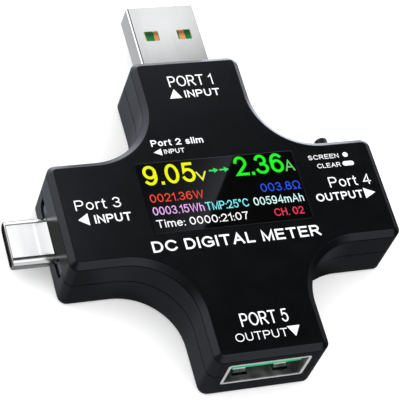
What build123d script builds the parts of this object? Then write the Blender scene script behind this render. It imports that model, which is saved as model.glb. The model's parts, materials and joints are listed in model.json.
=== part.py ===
from build123d import *
import os

# A cross-shaped inline power meter lying on its back.
# The origin is the centre of the cross on the flat back face, +Z goes out through the display,
# +Y runs along the arm with the type-A plug and -X along the arm with the type-C plug.
# All sizes are in millimetres.

# Housing
HALF_SPAN = 27.7                # centre of the cross to the end of each arm
ARM_HALF_WIDTH = 9.4
CONCAVE_RADIUS = 10.0           # inner corners between neighbouring arms
CORNER_RADIUS = 1.5             # outer corners of the arms, seen from the front
THICKNESS = 11.7
SEAM_Z = 6.2                    # where the two covers meet
WALL = 1.4
BEVEL_INSET = 0.95              # the front edge slopes in by this much
BEVEL_START_Z = 10.9
BEVEL_GROOVE_HEIGHT = 0.2
BEVEL_GROOVE_DEPTH = 0.2
FACE_EDGE_ROUND = 0.2
BACK_EDGE_ROUND = 0.7
SEAM_GAP_HEIGHT = 0.2           # shadow gap along the seam
SEAM_GAP_DEPTH = 0.35
LIP_HEIGHT = 0.8                # tongue of the rear cover inside the front cover
LIP_INSET = 0.75
LIP_CLEARANCE = 0.05
CAVITY_TOP_Z = THICKNESS - WALL

# Board and cover screws
BOARD_BOTTOM_Z = 2.65
BOARD_TOP_Z = 3.65
BOARD_EDGE_GAP = 0.3
SCREW_X, SCREW_Y = 8.6, 11.3
SCREW_SHANK_RADIUS = 0.95
SCREW_HEAD_RADIUS = 1.75
SCREW_HEAD_RECESS = 0.3
SCREW_END_Z = 8.6
COUNTERBORE_RADIUS = 1.95
COUNTERBORE_DEPTH = 1.4
BOSS_RADIUS = 2.2
PILOT_RADIUS = 1.0
CLEARANCE_HOLE_RADIUS = 1.15

# Display
WINDOW_WIDTH, WINDOW_HEIGHT = 26.9, 13.0
WINDOW_CENTRE_Y = 1.57
WINDOW_THICKNESS = 0.8
WINDOW_PROUD = 0.03
WINDOW_LEDGE = 0.9
WINDOW_GAP = 0.05
PANEL_WIDTH, PANEL_HEIGHT = 26.8, 13.3
PANEL_BOTTOM_Z, PANEL_TOP_Z = 8.6, 9.9
BACKLIGHT_BOTTOM_Z = 7.1
HOLDER_WALL = 0.6
HOLDER_GAP = 0.1
HOLDER_PLATE_Z = 6.6
HOLDER_TOP_Z = 9.7
RIBBON_WIDTH = 8.0
RIBBON_THICKNESS = 0.12
RIBBON_X = -15.1

# Type-A plug, +Y arm
A_PLUG_Z = 6.15
A_PLUG_WIDTH, A_PLUG_HEIGHT = 12.0, 4.5
A_PLUG_CORNER = 0.35
A_PLUG_TIP_Y = 41.1
A_PLUG_SHELL_BACK_Y = 19.5
A_PLUG_BLOCK_BACK_Y = 17.6
A_PLUG_TONGUE_TOP_Z = 5.85
A_WINDOW_WIDTH, A_WINDOW_LENGTH = 2.45, 2.0
A_WINDOW_OFFSET_X = 2.9
A_WINDOW_FROM_TIP = 6.15
SHEET = 0.3                     # metal of the type-A shells
CONTACT_OFFSETS = (-3.5, -1.0, 1.0, 3.5)
CONTACT_WIDTH = 1.0
CONTACT_THICKNESS = 0.2

# Type-A socket, -Y arm
A_SOCKET_WIDTH, A_SOCKET_HEIGHT = 13.1, 5.7
A_SOCKET_CORNER = 0.4
A_SOCKET_BACK_Y = -13.7
A_SOCKET_Z = BOARD_TOP_Z + A_SOCKET_HEIGHT / 2
A_RIM_WIDTH, A_RIM_HEIGHT = 13.7, 6.1
A_RIM_THICKNESS = 0.3
A_TONGUE_WIDTH = 12.2
A_TONGUE_BOTTOM_Z, A_TONGUE_TOP_Z = 6.5, 8.35
A_TONGUE_FRONT_Y = -26.8
FINGER_X = 3.4
FINGER_WIDTH = 2.1
FINGER_ROOT_FROM_MOUTH = 8.4
FINGER_CREST_FROM_MOUTH = 2.3
FINGER_TIP_FROM_MOUTH = 1.45
FINGER_RISE = 0.95

# Type-C plug, -X arm
C_PLUG_WIDTH, C_PLUG_HEIGHT = 8.34, 2.56
C_PLUG_Z = 3.97
C_PLUG_TIP_X = -34.6
C_PLUG_SHELL_BACK_X = -22.5
C_PLUG_BLOCK_BACK_X = -21.0
C_SHEET = 0.25
C_SLOT_WIDTH, C_SLOT_HEIGHT = 6.9, 1.1
C_SLOT_DEPTH = 5.6
C_NOTCH_HALF_WIDTH = 6.85
C_NOTCH_BOTTOM_Z = 3.45
C_NOTCH_CORNER = 1.3
COLLAR_HALF_WIDTH = 6.3
COLLAR_BOTTOM_Z = 3.5
COLLAR_CORNER = 0.9
COLLAR_RECESS = 0.3
COLLAR_THICKNESS = 0.9
COLLAR_EDGE_ROUND = 0.2
COLLAR_BRIDGE_RECESS = 0.45     # the part over the plug stands further back than the cheeks
APRON_HALF_WIDTH = 4.1          # piece of the front cover's wall that comes down over the plug
APRON_THICKNESS = 0.7
APRON_ABOVE_PLUG_AXIS = 0.65

# Type-C socket, +X arm
C_SOCKET_WIDTH, C_SOCKET_HEIGHT = 8.94, 3.16
C_SOCKET_Z = BOARD_TOP_Z + C_SOCKET_HEIGHT / 2
C_SOCKET_MOUTH_X = 27.5
C_SOCKET_BACK_X = 20.3
C_TONGUE_WIDTH, C_TONGUE_THICKNESS = 6.7, 0.7
C_CONTACT_COUNT = 12
C_CONTACT_PITCH = 0.5
C_CONTACT_WIDTH = 0.25
C_CONTACT_THICKNESS = 0.1

# Micro-B socket, +Y side of the -X arm
MICRO_X = -20.6
MICRO_WIDTH, MICRO_HEIGHT = 7.5, 2.65
MICRO_FOOT_WIDTH = 5.7
MICRO_SIDE_Z = 1.2
MICRO_MOUTH_Y, MICRO_BACK_Y = 9.3, 4.75
MICRO_SHEET = 0.25
MICRO_CONTACT_COUNT = 5
MICRO_CONTACT_PITCH = 0.65

OPENING_GAP = 0.12              # between a connector and the cover around it

# Push button, +Y side of the +X arm
BUTTON_X = 21.1
BUTTON_Z = 7.6
BUTTON_RADIUS = 1.1
BUTTON_HOLE_RADIUS = 1.25
BUTTON_PROTRUSION = 2.6
BUTTON_END_ROUND = 0.35
BUTTON_STEM_BACK_Y = 6.95       # where the cap meets the plunger of the switch
BUTTON_FLANGE_Y = (7.2, 7.7)
SWITCH_BACK_Y, SWITCH_FRONT_Y = 4.85, 6.8
SWITCH_SIZE = 4.2
SWITCH_CAVITY_RADIUS = 1.6
SWITCH_CAVITY_Y = (5.3, 6.4)
PLUNGER_HEAD_RADIUS = 1.3
PLUNGER_HEAD_Y = (5.85, 6.3)
PLUNGER_STEM_RADIUS = 0.8


def block(x, y, z):
    """Box between a low and a high value along each axis."""
    spans = (x, y, z)
    middle = [(low + high) / 2 for low, high in spans]
    size = [high - low for low, high in spans]
    return Pos(*middle) * Box(*size)


def bar_x(profile, x, y, z):
    """Profile (width along Y, height along Z) run between two X values."""
    plane = Plane(origin=(x[0], y, z), x_dir=(0, 1, 0), z_dir=(1, 0, 0))
    return extrude(plane * profile, x[1] - x[0])


def bar_y(profile, y, x, z):
    """Profile (width along -X, height along Z) run between two Y values."""
    plane = Plane(origin=(x, y[0], z), x_dir=(-1, 0, 0), z_dir=(0, 1, 0))
    return extrude(plane * profile, y[1] - y[0])


def bar_z(profile, z, x=0.0, y=0.0):
    """Profile lying in the XY plane run between two Z values."""
    return extrude(Pos(x, y, z[0]) * profile, z[1] - z[0])


def rod_y(radius, y, x, z):
    return bar_y(Circle(radius), y, x, z)


def join(pieces):
    """One solid from pieces that touch or overlap."""
    first, *rest = pieces
    return first.fuse(*rest).clean() if rest else first


def cross_outline(inset=0.0):
    """Plan outline of the housing, moved inwards by inset."""
    span = HALF_SPAN - inset
    half_width = ARM_HALF_WIDTH - inset
    concave = CONCAVE_RADIUS + inset
    convex = max(CORNER_RADIUS - inset, 0.3)
    plus = Rectangle(2 * span, 2 * half_width) + Rectangle(2 * half_width, 2 * span)
    inner = [v for v in plus.vertices() if abs(abs(v.X) - abs(v.Y)) < 0.01]
    plus = fillet(inner, concave)
    outer = [v for v in plus.vertices() if max(abs(v.X), abs(v.Y)) > span - 0.01]
    return fillet(outer, convex)


def outline_ring(outer_inset, inner_inset, z):
    """Band that follows the housing's wall between two insets."""
    return bar_z(cross_outline(outer_inset), z) - bar_z(cross_outline(inner_inset), z)


def screw_places():
    return [(x, y) for x in (-SCREW_X, SCREW_X) for y in (-SCREW_Y, SCREW_Y)]


def micro_profile(grow=0.0):
    """Micro-B outline standing on its narrow side, made larger all round by grow."""
    half, foot = MICRO_WIDTH / 2, MICRO_FOOT_WIDTH / 2
    corners = [(-foot, 0), (foot, 0), (half, MICRO_SIDE_Z), (half, MICRO_HEIGHT),
               (-half, MICRO_HEIGHT), (-half, MICRO_SIDE_Z)]
    profile = make_face(Polyline(*corners, close=True))
    return offset(profile, grow, kind=Kind.INTERSECTION) if grow else profile


def wall_openings():
    """Tools that open the covers for each plug and socket and for the button, through the full wall."""
    deep = 2 * WALL
    a_hole = RectangleRounded(A_PLUG_WIDTH + 2 * OPENING_GAP, A_PLUG_HEIGHT + 2 * OPENING_GAP, A_PLUG_CORNER)
    a_plug = bar_y(a_hole, (HALF_SPAN - deep, HALF_SPAN + 1), 0, A_PLUG_Z)
    a_rim = RectangleRounded(A_RIM_WIDTH + 2 * OPENING_GAP, A_RIM_HEIGHT + 2 * OPENING_GAP, A_SOCKET_CORNER)
    a_socket = bar_y(a_rim, (-HALF_SPAN - 1, -HALF_SPAN + deep), 0, A_SOCKET_Z)
    c_plug = bar_x(SlotOverall(C_PLUG_WIDTH + 2 * OPENING_GAP, C_PLUG_HEIGHT + 2 * OPENING_GAP),
                   (-HALF_SPAN - 1, -HALF_SPAN + deep), 0, C_PLUG_Z)
    c_socket = bar_x(SlotOverall(C_SOCKET_WIDTH + 2 * OPENING_GAP, C_SOCKET_HEIGHT + 2 * OPENING_GAP),
                     (HALF_SPAN - deep, HALF_SPAN + 1), 0, C_SOCKET_Z)
    wall_y = (ARM_HALF_WIDTH - 1.5 * WALL, ARM_HALF_WIDTH + 4)
    micro = bar_y(micro_profile(OPENING_GAP), wall_y, MICRO_X, BOARD_TOP_Z)
    button = rod_y(BUTTON_HOLE_RADIUS, wall_y, BUTTON_X, BUTTON_Z)
    return [a_plug, a_socket, c_plug, c_socket, micro, button]


def front_cover():
    """Front half of the housing: bevelled face, side walls, screw posts and display opening."""
    wall_zone = bar_z(cross_outline(), (SEAM_Z, BEVEL_START_Z))
    low = Pos(0, 0, BEVEL_START_Z) * cross_outline()
    high = Pos(0, 0, THICKNESS) * cross_outline(BEVEL_INSET)
    shell = join([wall_zone, loft([low, high], ruled=True)])
    face_edges = shell.faces().sort_by(Axis.Z)[-1].outer_wire().edges()
    shell = fillet(face_edges, FACE_EDGE_ROUND)
    groove_top = BEVEL_START_Z - 0.02
    shell -= outline_ring(-0.5, BEVEL_GROOVE_DEPTH, (groove_top - BEVEL_GROOVE_HEIGHT, groove_top))
    shell -= bar_z(cross_outline(WALL), (SEAM_Z - 1, CAVITY_TOP_Z))
    # Rebate for the rear cover's lip
    rebate_top = SEAM_Z + LIP_HEIGHT + LIP_CLEARANCE
    shell -= bar_z(cross_outline(LIP_INSET - LIP_CLEARANCE), (SEAM_Z - 1, rebate_top))
    posts = [bar_z(Circle(BOSS_RADIUS - 0.2), (BOARD_TOP_Z, CAVITY_TOP_Z), x, y) for x, y in screw_places()]
    shell = join([shell, *posts])
    for x, y in screw_places():
        shell -= bar_z(Circle(PILOT_RADIUS), (BOARD_TOP_Z - 1, SCREW_END_Z + 0.4), x, y)
    pane = RectangleRounded(WINDOW_WIDTH + 2 * WINDOW_GAP, WINDOW_HEIGHT + 2 * WINDOW_GAP, 0.45)
    shell -= bar_z(pane, (THICKNESS - WINDOW_THICKNESS, THICKNESS + 1), 0, WINDOW_CENTRE_Y)
    aperture = Rectangle(WINDOW_WIDTH - 2 * WINDOW_LEDGE, WINDOW_HEIGHT - 2 * WINDOW_LEDGE)
    shell -= bar_z(aperture, (CAVITY_TOP_Z - 1, THICKNESS), 0, WINDOW_CENTRE_Y)
    apron = block((-HALF_SPAN, -HALF_SPAN + APRON_THICKNESS), (-APRON_HALF_WIDTH, APRON_HALF_WIDTH),
                  (C_PLUG_Z + APRON_ABOVE_PLUG_AXIS, SEAM_Z + LIP_HEIGHT))
    shell = join([shell, apron])
    for opening in wall_openings():
        shell -= opening
    return shell


def plug_notch():
    """Wide open-topped notch with rounded bottom corners, for the type-C plug's collar."""
    height = SEAM_Z + LIP_HEIGHT + 1 - C_NOTCH_BOTTOM_Z
    profile = Pos(0, height / 2) * Rectangle(2 * C_NOTCH_HALF_WIDTH, height)
    profile = fillet(profile.vertices().sort_by(Axis.Y)[:2], C_NOTCH_CORNER)
    return bar_x(profile, (-HALF_SPAN - 1, -HALF_SPAN + 1.5 * WALL), 0, C_NOTCH_BOTTOM_Z)


def rear_cover():
    """Rear half of the housing: flat back, side walls with a lip, board rests and screw seats."""
    shell = bar_z(cross_outline(), (0, SEAM_Z))
    shell = fillet(shell.faces().sort_by(Axis.Z)[0].outer_wire().edges(), BACK_EDGE_ROUND)
    shell -= outline_ring(-0.5, SEAM_GAP_DEPTH, (SEAM_Z - SEAM_GAP_HEIGHT, SEAM_Z + 1))
    shell -= bar_z(cross_outline(WALL), (WALL, SEAM_Z + 1))
    lip = outline_ring(LIP_INSET, WALL, (SEAM_Z - 1, SEAM_Z + LIP_HEIGHT))
    seats = [bar_z(Circle(BOSS_RADIUS + 0.2), (WALL / 2, BOARD_BOTTOM_Z), x, y) for x, y in screw_places()]
    rest_z = (WALL / 2, BOARD_BOTTOM_Z)
    rests = [block((-5, 5), (23.5, 24.5), rest_z), block((-5, 5), (-24.5, -23.5), rest_z),
             block((23.5, 24.5), (-5, 5), rest_z), block((-24.5, -20), (5.6, 6.6), rest_z),
             block((-24.5, -20), (-6.6, -5.6), rest_z)]
    shell = join([shell, lip, *seats, *rests])
    for x, y in screw_places():
        shell -= bar_z(Circle(COUNTERBORE_RADIUS), (-1, COUNTERBORE_DEPTH), x, y)
        shell -= bar_z(Circle(CLEARANCE_HOLE_RADIUS), (0, BOARD_BOTTOM_Z + 1), x, y)
    for opening in wall_openings():
        shell -= opening
    return shell - plug_notch()


def cover_screws():
    """Four pan-head screws with a cross recess, driven from the back."""
    head = bar_z(Circle(SCREW_HEAD_RADIUS), (SCREW_HEAD_RECESS, COUNTERBORE_DEPTH))
    head = fillet(head.faces().sort_by(Axis.Z)[0].edges(), 0.35)
    screw = head + bar_z(Circle(SCREW_SHANK_RADIUS), (COUNTERBORE_DEPTH, SCREW_END_Z))
    slot_z = (SCREW_HEAD_RECESS - 0.1, SCREW_HEAD_RECESS + 0.7)
    screw -= block((-1.0, 1.0), (-0.2, 0.2), slot_z) + block((-0.2, 0.2), (-1.0, 1.0), slot_z)
    return [Pos(x, y, 0) * screw for x, y in screw_places()]


def display_window():
    pane = RectangleRounded(WINDOW_WIDTH, WINDOW_HEIGHT, 0.4)
    window = bar_z(pane, (THICKNESS - WINDOW_THICKNESS, THICKNESS + WINDOW_PROUD), 0, WINDOW_CENTRE_Y)
    return chamfer(window.faces().sort_by(Axis.Z)[-1].edges(), 0.08)


def display_stack():
    """Gasket, panel and backlight, one on the other under the window."""
    outer = Rectangle(PANEL_WIDTH, PANEL_HEIGHT)
    inner = Rectangle(PANEL_WIDTH - 2.4, PANEL_HEIGHT - 2.4)
    gasket = bar_z(outer - inner, (PANEL_TOP_Z, CAVITY_TOP_Z), 0, WINDOW_CENTRE_Y)
    panel = bar_z(outer, (PANEL_BOTTOM_Z, PANEL_TOP_Z), 0, WINDOW_CENTRE_Y)
    backlight = bar_z(outer, (BACKLIGHT_BOTTOM_Z, PANEL_BOTTOM_Z), 0, WINDOW_CENTRE_Y)
    return gasket, panel, backlight


def display_holder():
    """Moulded tray on four legs that carries the display above the board."""
    half_x = PANEL_WIDTH / 2 + HOLDER_GAP
    half_y = PANEL_HEIGHT / 2 + HOLDER_GAP
    outer = Rectangle(2 * (half_x + HOLDER_WALL), 2 * (half_y + HOLDER_WALL))
    tray = bar_z(outer, (HOLDER_PLATE_Z, HOLDER_TOP_Z), 0, WINDOW_CENTRE_Y)
    nest = Rectangle(2 * half_x, 2 * half_y)
    tray -= bar_z(nest, (BACKLIGHT_BOTTOM_Z, HOLDER_TOP_Z + 1), 0, WINDOW_CENTRE_Y)
    tray -= bar_z(Rectangle(20, 8), (HOLDER_PLATE_Z - 1, HOLDER_TOP_Z), 0, WINDOW_CENTRE_Y)
    leg = Rectangle(2.0, 1.6)
    legs = [bar_z(leg, (BOARD_TOP_Z, HOLDER_PLATE_Z), x, WINDOW_CENTRE_Y + y)
            for x in (-12.6, 12.6) for y in (-6.4, 6.4)]
    tray = join([tray, *legs])
    # Way out for the ribbon
    return tray - block((-half_x - 1, -half_x + 0.5), (WINDOW_CENTRE_Y - 4.5, WINDOW_CENTRE_Y + 4.5),
                        (PANEL_BOTTOM_Z, HOLDER_TOP_Z + 1))


def display_ribbon():
    """Flat flexible cable from the panel's edge down to its connector on the board."""
    start_z = (PANEL_BOTTOM_Z + PANEL_TOP_Z) / 2
    path = FilletPolyline((-PANEL_WIDTH / 2, 0, start_z), (RIBBON_X, 0, start_z),
                          (RIBBON_X, 0, BOARD_TOP_Z + 1.2), radius=0.8)
    section = Plane(origin=path @ 0, z_dir=path % 0) * Rectangle(RIBBON_THICKNESS, RIBBON_WIDTH)
    ribbon = sweep(section, path=path)
    if ribbon.bounding_box().size.Y < RIBBON_WIDTH / 2:
        section = Plane(origin=path @ 0, z_dir=path % 0) * Rectangle(RIBBON_WIDTH, RIBBON_THICKNESS)
        ribbon = sweep(section, path=path)
    return Pos(0, WINDOW_CENTRE_Y, 0) * ribbon


def ribbon_connector():
    half = RIBBON_WIDTH / 2 + 0.8
    body = block((RIBBON_X - 1.1, RIBBON_X + 0.6), (WINDOW_CENTRE_Y - half, WINDOW_CENTRE_Y + half),
                 (BOARD_TOP_Z, BOARD_TOP_Z + 1.2))
    return body


def main_board():
    """One board that reaches into all four arms, cut back round the type-C plug."""
    board = bar_z(cross_outline(WALL + BOARD_EDGE_GAP), (BOARD_BOTTOM_Z, BOARD_TOP_Z))
    board -= block((-HALF_SPAN, C_PLUG_BLOCK_BACK_X + 0.4), (-4.9, 4.9), (0, THICKNESS))
    for x, y in screw_places():
        board -= bar_z(Circle(CLEARANCE_HOLE_RADIUS), (0, THICKNESS), x, y)
    return board


def type_a_plug_contacts():
    """Four strips on the tongue, bent down to the board behind the block."""
    leg_y = (A_PLUG_BLOCK_BACK_Y - 0.3, A_PLUG_BLOCK_BACK_Y - 0.1)
    top_z = A_PLUG_TONGUE_TOP_Z + CONTACT_THICKNESS
    contacts = []
    for offset_x in CONTACT_OFFSETS:
        x = (offset_x - CONTACT_WIDTH / 2, offset_x + CONTACT_WIDTH / 2)
        strip = block(x, (leg_y[0], A_PLUG_TIP_Y - 1.4), (A_PLUG_TONGUE_TOP_Z, top_z))
        contacts.append(join([strip, block(x, leg_y, (BOARD_TOP_Z, top_z))]))
    return contacts


def type_a_plug_insulator():
    """Tongue in the lower half of the plug, with the block it grows from standing on the board."""
    clearance = 0.05
    bottom_z = A_PLUG_Z - A_PLUG_HEIGHT / 2 + SHEET + clearance
    half = A_PLUG_WIDTH / 2 - SHEET - clearance
    tongue = block((-half, half), (A_PLUG_SHELL_BACK_Y - 0.5, A_PLUG_TIP_Y - 0.7),
                   (bottom_z, A_PLUG_TONGUE_TOP_Z))
    tongue = chamfer(tongue.edges().filter_by(Axis.X).group_by(Axis.Y)[-1].sort_by(Axis.Z)[-1], 0.4)
    base = block((-A_PLUG_WIDTH / 2, A_PLUG_WIDTH / 2),
                 (A_PLUG_BLOCK_BACK_Y, A_PLUG_SHELL_BACK_Y), (BOARD_TOP_Z, A_PLUG_Z + A_PLUG_HEIGHT / 2))
    insulator = join([tongue, base])
    for contact in type_a_plug_contacts():
        insulator -= contact
    return insulator


def type_a_plug_shell():
    """Folded sheet-metal sleeve with two latch windows on each broad face and two board ears."""
    length = (A_PLUG_SHELL_BACK_Y, A_PLUG_TIP_Y)
    outer = RectangleRounded(A_PLUG_WIDTH, A_PLUG_HEIGHT, A_PLUG_CORNER)
    inner = RectangleRounded(A_PLUG_WIDTH - 2 * SHEET, A_PLUG_HEIGHT - 2 * SHEET, A_PLUG_CORNER - SHEET)
    sleeve = bar_y(outer, length, 0, A_PLUG_Z)
    sleeve = fillet(sleeve.faces().sort_by(Axis.Y)[-1].edges(), 0.15)
    sleeve -= bar_y(inner, (length[0] - 1, length[1] + 1), 0, A_PLUG_Z)
    window_y = A_PLUG_TIP_Y - A_WINDOW_FROM_TIP
    latch = RectangleRounded(A_WINDOW_WIDTH, A_WINDOW_LENGTH, 0.15)
    for side in (-1, 1):
        sleeve -= bar_z(latch, (0, THICKNESS), side * A_WINDOW_OFFSET_X, window_y)
    # Butt joint of the folded sheet, along the underside
    bottom_z = A_PLUG_Z - A_PLUG_HEIGHT / 2
    sleeve -= block((-0.04, 0.04), (length[0] - 1, length[1] + 1),
                    (bottom_z - 0.1, bottom_z + SHEET + 0.1))
    half = A_PLUG_WIDTH / 2
    ears = [block((-half, -half + SHEET), (21.0, 24.0), (BOARD_TOP_Z, A_PLUG_Z)),
            block((half - SHEET, half), (21.0, 24.0), (BOARD_TOP_Z, A_PLUG_Z))]
    return join([sleeve, *ears])


def spring_finger(side_x, wall_z, inwards):
    """Cantilever cut from a broad wall of the type-A socket, bowed into the mouth."""
    mouth = -HALF_SPAN
    root, crest, tip = [mouth + d for d in
                        (FINGER_ROOT_FROM_MOUTH, FINGER_CREST_FROM_MOUTH, FINGER_TIP_FROM_MOUTH)]
    rise = inwards * FINGER_RISE
    line = Spline((0, root + 0.6, wall_z), (0, root - 0.6, wall_z + 0.08 * rise),
                  (0, crest, wall_z + rise), (0, tip, wall_z + 0.25 * rise))
    section = Plane(origin=line @ 0, z_dir=line % 0) * Rectangle(FINGER_WIDTH, SHEET * 0.8)
    finger = sweep(section, path=line)
    if finger.bounding_box().size.X < FINGER_WIDTH / 2:
        section = Plane(origin=line @ 0, z_dir=line % 0) * Rectangle(SHEET * 0.8, FINGER_WIDTH)
        finger = sweep(section, path=line)
    return Pos(side_x, 0, 0) * finger


def type_a_socket_shell():
    """Sheet-metal box with a turned-out rim and two spring fingers in each broad wall."""
    length = (-HALF_SPAN, A_SOCKET_BACK_Y)
    outer = RectangleRounded(A_SOCKET_WIDTH, A_SOCKET_HEIGHT, A_SOCKET_CORNER)
    inner = RectangleRounded(A_SOCKET_WIDTH - 2 * SHEET, A_SOCKET_HEIGHT - 2 * SHEET, 0.15)
    rim = RectangleRounded(A_RIM_WIDTH, A_RIM_HEIGHT, A_SOCKET_CORNER + 0.1)
    body = join([bar_y(outer, length, 0, A_SOCKET_Z),
                 bar_y(rim, (length[0], length[0] + A_RIM_THICKNESS), 0, A_SOCKET_Z)])
    body -= bar_y(inner, (length[0] - 1, length[1] + 1), 0, A_SOCKET_Z)
    mouth_edges = body.faces().sort_by(Axis.Y)[0].inner_wires()[0].edges()
    body = chamfer(mouth_edges, 0.15)
    slot_y = (-HALF_SPAN + FINGER_TIP_FROM_MOUTH - 0.5, -HALF_SPAN + FINGER_ROOT_FROM_MOUTH)
    fingers = []
    for inwards in (-1, 1):
        middle_z = A_SOCKET_Z - inwards * (A_SOCKET_HEIGHT - SHEET) / 2
        for side_x in (-FINGER_X, FINGER_X):
            half = FINGER_WIDTH / 2 + 0.25
            body -= block((side_x - half, side_x + half), slot_y, (middle_z - SHEET, middle_z + SHEET))
            rise = inwards if inwards > 0 else 0.3 * inwards
            fingers.append(spring_finger(side_x, middle_z, rise))
    return join([body, *fingers])


def type_a_socket_contacts():
    """Four strips under the tongue, bent down to the board behind the socket."""
    leg_y = (A_SOCKET_BACK_Y + 0.1, A_SOCKET_BACK_Y + 0.3)
    z = (A_TONGUE_BOTTOM_Z - CONTACT_THICKNESS, A_TONGUE_BOTTOM_Z)
    contacts = []
    for offset_x in CONTACT_OFFSETS:
        x = (offset_x - CONTACT_WIDTH / 2, offset_x + CONTACT_WIDTH / 2)
        strip = block(x, (A_TONGUE_FRONT_Y + 0.8, leg_y[1]), z)
        contacts.append(join([strip, block(x, leg_y, (BOARD_TOP_Z, z[1]))]))
    return contacts


def type_a_socket_tongue():
    """Tongue in the upper half of the socket, with the block that closes the back."""
    half = A_TONGUE_WIDTH / 2
    tongue = block((-half, half), (A_TONGUE_FRONT_Y, A_SOCKET_BACK_Y), (A_TONGUE_BOTTOM_Z, A_TONGUE_TOP_Z))
    tongue = chamfer(tongue.faces().sort_by(Axis.Y)[0].edges().filter_by(Axis.X), 0.1)
    inner_half = A_SOCKET_WIDTH / 2 - SHEET - 0.1
    inner_z = A_SOCKET_HEIGHT / 2 - SHEET - 0.1
    base = block((-inner_half, inner_half), (A_SOCKET_BACK_Y - 2.0, A_SOCKET_BACK_Y),
                 (A_SOCKET_Z - inner_z, A_SOCKET_Z + inner_z))
    tongue = join([tongue, base])
    for contact in type_a_socket_contacts():
        tongue -= contact
    return tongue


def type_c_plug_shell():
    """Seamless rounded sleeve of the type-C plug."""
    length = (C_PLUG_TIP_X, C_PLUG_SHELL_BACK_X)
    sleeve = bar_x(SlotOverall(C_PLUG_WIDTH, C_PLUG_HEIGHT), length, 0, C_PLUG_Z)
    sleeve = fillet(sleeve.faces().sort_by(Axis.X)[0].edges(), 0.2)
    inner = SlotOverall(C_PLUG_WIDTH - 2 * C_SHEET, C_PLUG_HEIGHT - 2 * C_SHEET)
    return sleeve - bar_x(inner, (length[0] - 1, length[1] + 1), 0, C_PLUG_Z)


def contact_rows_y():
    middle = (C_CONTACT_COUNT - 1) / 2
    return [(i - middle) * C_CONTACT_PITCH for i in range(C_CONTACT_COUNT)]


def type_c_plug_contacts():
    """Two rows of twelve: the lower row steps up onto the board, the upper bends down to it."""
    front_x = C_PLUG_TIP_X + 1.3
    board_x = C_PLUG_BLOCK_BACK_X + 0.4
    upper_z = (C_PLUG_Z + C_SLOT_HEIGHT / 2 - C_CONTACT_THICKNESS, C_PLUG_Z + C_SLOT_HEIGHT / 2)
    lower_z = (C_PLUG_Z - C_SLOT_HEIGHT / 2, C_PLUG_Z - C_SLOT_HEIGHT / 2 + C_CONTACT_THICKNESS)
    pad_z = (BOARD_TOP_Z, BOARD_TOP_Z + C_CONTACT_THICKNESS)
    step_x = (board_x - 0.3, board_x - 0.2)
    leg_x = (board_x + 1.5, board_x + 1.6)
    contacts = []
    for middle_y in contact_rows_y():
        y = (middle_y - C_CONTACT_WIDTH / 2, middle_y + C_CONTACT_WIDTH / 2)
        lower = block((front_x, step_x[1]), y, lower_z)
        step = block(step_x, y, (lower_z[0], pad_z[1]))
        pad = block((step_x[0], board_x + 1.0), y, pad_z)
        contacts.append(join([lower, step, pad]))
        strip = block((front_x, leg_x[1]), y, upper_z)
        contacts.append(join([strip, block(leg_x, y, (BOARD_TOP_Z, upper_z[1]))]))
    return contacts


def type_c_plug_insulator():
    """Liner round the plug's mouth, solid behind it, with the contacts in it."""
    fit = 2 * (C_SHEET + 0.03)
    liner = SlotOverall(C_PLUG_WIDTH - fit, C_PLUG_HEIGHT - fit)
    body = bar_x(liner, (C_PLUG_TIP_X + 0.5, C_PLUG_SHELL_BACK_X), 0, C_PLUG_Z)
    slot = Rectangle(C_SLOT_WIDTH, C_SLOT_HEIGHT)
    body -= bar_x(slot, (C_PLUG_TIP_X, C_PLUG_TIP_X + C_SLOT_DEPTH), 0, C_PLUG_Z)
    back = block((C_PLUG_SHELL_BACK_X, C_PLUG_BLOCK_BACK_X), (-3.9, 3.9),
                 (C_PLUG_Z - C_PLUG_HEIGHT / 2 + 0.1, C_PLUG_Z + C_PLUG_HEIGHT / 2))
    return join([body, back]).cut(*type_c_plug_contacts())


def type_c_plug_collar():
    """Bright bracket over the plug's root, seen in the cover's notch and soldered to the board."""
    top_z = SEAM_Z - 0.05
    height = top_z - COLLAR_BOTTOM_Z
    profile = Pos(0, height / 2) * Rectangle(2 * COLLAR_HALF_WIDTH, height)
    profile = fillet(profile.vertices().sort_by(Axis.Y)[:2], COLLAR_CORNER)
    front_x = -HALF_SPAN + COLLAR_RECESS
    plate = bar_x(profile, (front_x, front_x + COLLAR_THICKNESS), 0, COLLAR_BOTTOM_Z)
    plate = fillet(plate.faces().sort_by(Axis.X)[0].edges(), COLLAR_EDGE_ROUND)
    hole = SlotOverall(C_PLUG_WIDTH + 0.1, C_PLUG_HEIGHT + 0.1)
    plate -= bar_x(hole, (front_x - 1, front_x + 3), 0, C_PLUG_Z)
    plate -= block((front_x - 1, front_x + 3), (-C_PLUG_WIDTH / 2 + 1, C_PLUG_WIDTH / 2 - 1), (0, C_PLUG_Z))
    plate -= block((front_x - 1, front_x + COLLAR_BRIDGE_RECESS), (-C_PLUG_WIDTH / 2, C_PLUG_WIDTH / 2),
                   (C_PLUG_Z, SEAM_Z + 1))
    ear_x = (front_x + COLLAR_THICKNESS / 2, -24.4)
    ears = [block(ear_x, y, (BOARD_TOP_Z, BOARD_TOP_Z + 0.3)) for y in ((5.1, 6.2), (-6.2, -5.1))]
    return join([plate, *ears])


def type_c_socket_shell():
    length = (C_SOCKET_BACK_X, C_SOCKET_MOUTH_X)
    sleeve = bar_x(SlotOverall(C_SOCKET_WIDTH, C_SOCKET_HEIGHT), length, 0, C_SOCKET_Z)
    inner = SlotOverall(C_SOCKET_WIDTH - 2 * C_SHEET, C_SOCKET_HEIGHT - 2 * C_SHEET)
    sleeve -= bar_x(inner, (length[0] - 1, length[1] + 1), 0, C_SOCKET_Z)
    mouth_edges = sleeve.faces().sort_by(Axis.X)[-1].inner_wires()[0].edges()
    return chamfer(mouth_edges, 0.12)


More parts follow.
